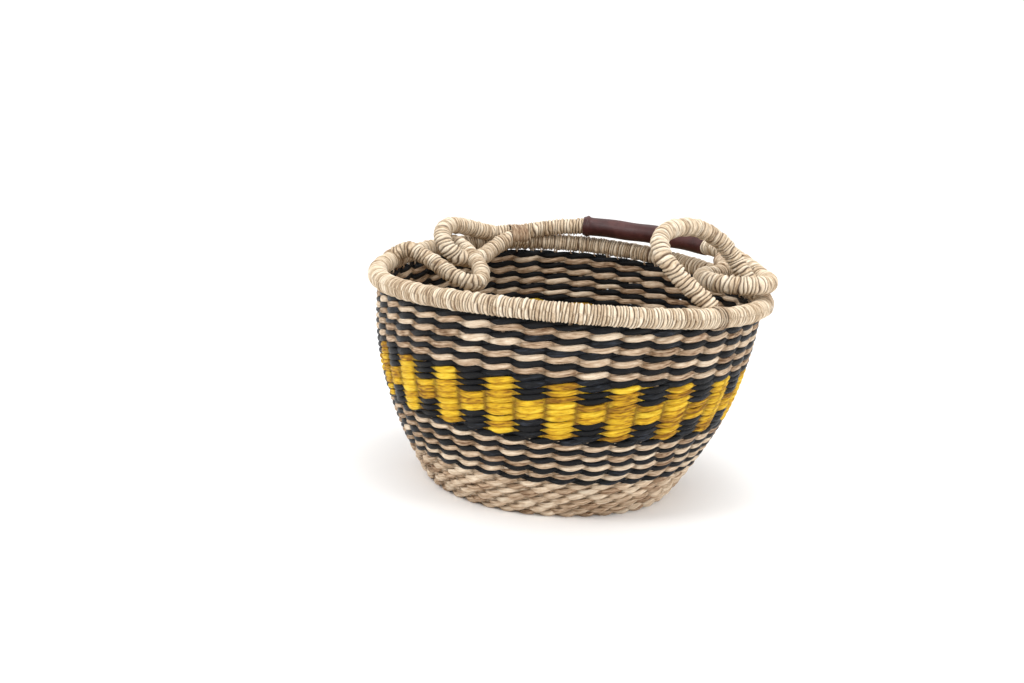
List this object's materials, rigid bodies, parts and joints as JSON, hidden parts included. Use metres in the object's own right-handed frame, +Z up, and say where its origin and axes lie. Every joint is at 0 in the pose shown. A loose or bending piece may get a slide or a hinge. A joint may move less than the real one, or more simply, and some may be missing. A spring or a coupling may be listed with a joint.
{
  "type": "storage basket",
  "caption": "Round woven seagrass basket with wrapped rim, two rope ears and a folding bail handle with a leather grip.",
  "frame": {"origin": "centre of the flat base, on the floor", "axes": "+Z up, rope ears on -X and +X, bail handle folded over the +Y half of the rim"},
  "size_m": [0.2978, 0.2978, 0.2122],
  "materials": {
    "seagrass_natural": "dry twined seagrass",
    "seagrass_black": "dyed black seagrass with a slight gloss",
    "seagrass_yellow": "dyed golden yellow seagrass",
    "seagrass_rope": "rope closely wrapped with seagrass",
    "stake_cane": "plain seagrass stakes",
    "core_fibre": "twisted fibre core",
    "grip_leather": "dark reddish-brown leather, soft sheen"
  },
  "bodies": {
    "basket": {"base_stakes": "stake_cane", "base_underside": "seagrass_natural", "base_upper": "seagrass_natural", "inner_weave_lower_stripes": "seagrass_natural", "inner_weave_natural": "seagrass_natural", "inner_weave_upper_stripes": "seagrass_natural", "inner_weave_yellow": "seagrass_yellow", "left_ear_lashings": "seagrass_rope", "right_ear_lashings": "seagrass_rope", "rim_core": "core_fibre", "rim_lacing": "seagrass_rope", "rim_wrap": "seagrass_rope", "wall_stakes": "stake_cane", "weft_row_01_black": "seagrass_black", "weft_row_02_natural": "seagrass_natural", "weft_row_03_black": "seagrass_black", "weft_row_04_natural": "seagrass_natural", "weft_row_05_black": "seagrass_black", "weft_row_06_natural": "seagrass_natural", "weft_row_07_black": "seagrass_black", "weft_row_08_natural": "seagrass_natural", "weft_row_09_black": "seagrass_black", "weft_row_10_yellow": "seagrass_yellow", "weft_row_11_yellow": "seagrass_yellow", "weft_row_12_yellow": "seagrass_yellow", "weft_row_13_yellow": "seagrass_yellow", "weft_row_14_yellow": "seagrass_yellow", "weft_row_15_yellow": "seagrass_yellow", "weft_row_16_yellow": "seagrass_yellow", "weft_row_17_yellow": "seagrass_yellow", "weft_row_18_yellow": "seagrass_yellow", "weft_row_19_black": "seagrass_black", "weft_row_20_natural": "seagrass_natural", "weft_row_21_black": "seagrass_black", "weft_row_22_natural": "seagrass_natural", "weft_row_23_black": "seagrass_black", "weft_row_24_natural": "seagrass_natural", "weft_row_25_black": "seagrass_black", "weft_row_26_natural": "seagrass_natural", "weft_row_27_black": "seagrass_black", "weft_row_28_natural": "seagrass_natural", "weft_row_29_natural": "seagrass_natural", "weft_row_30_natural": "seagrass_natural", "weft_row_31_natural": "seagrass_natural", "weft_row_32_natural": "seagrass_natural", "weft_row_33_natural": "seagrass_natural", "weft_row_34_natural": "seagrass_natural"},
    "left_ear": {"left_ear_core": "core_fibre", "left_ear_wrap": "seagrass_rope"},
    "right_ear": {"right_ear_core": "core_fibre", "right_ear_wrap": "seagrass_rope"},
    "handle": {"bail_core": "core_fibre", "bail_wrap_right": "seagrass_rope", "bail_wrap_left": "seagrass_rope", "leather_grip": "grip_leather", "right_eye": "seagrass_rope", "left_eye": "seagrass_rope", "right_eye_binding": "seagrass_rope", "left_eye_binding": "seagrass_rope"}
  },
  "joints": [
    {"name": "handle_swing", "type": "hinge", "parent": "basket", "child": "handle", "pos_m": [0, 0, 0.174], "axis": [1, 0, 0], "range_deg": [0, 90]},
    {"name": "left_ear_lift", "type": "hinge", "parent": "basket", "child": "left_ear", "pos_m": [-0.1228, 0, 0.1658], "axis": [0, -1, 0], "range_deg": [0, 108]},
    {"name": "right_ear_lift", "type": "hinge", "parent": "basket", "child": "right_ear", "pos_m": [0.1228, 0, 0.1658], "axis": [0, 1, 0], "range_deg": [0, 36]}
  ],
  "couplings": [
    {"joint": "left_ear_lift", "follows": "handle_swing", "ratio": 1.2},
    {"joint": "right_ear_lift", "follows": "handle_swing", "ratio": 0.4}
  ]
}
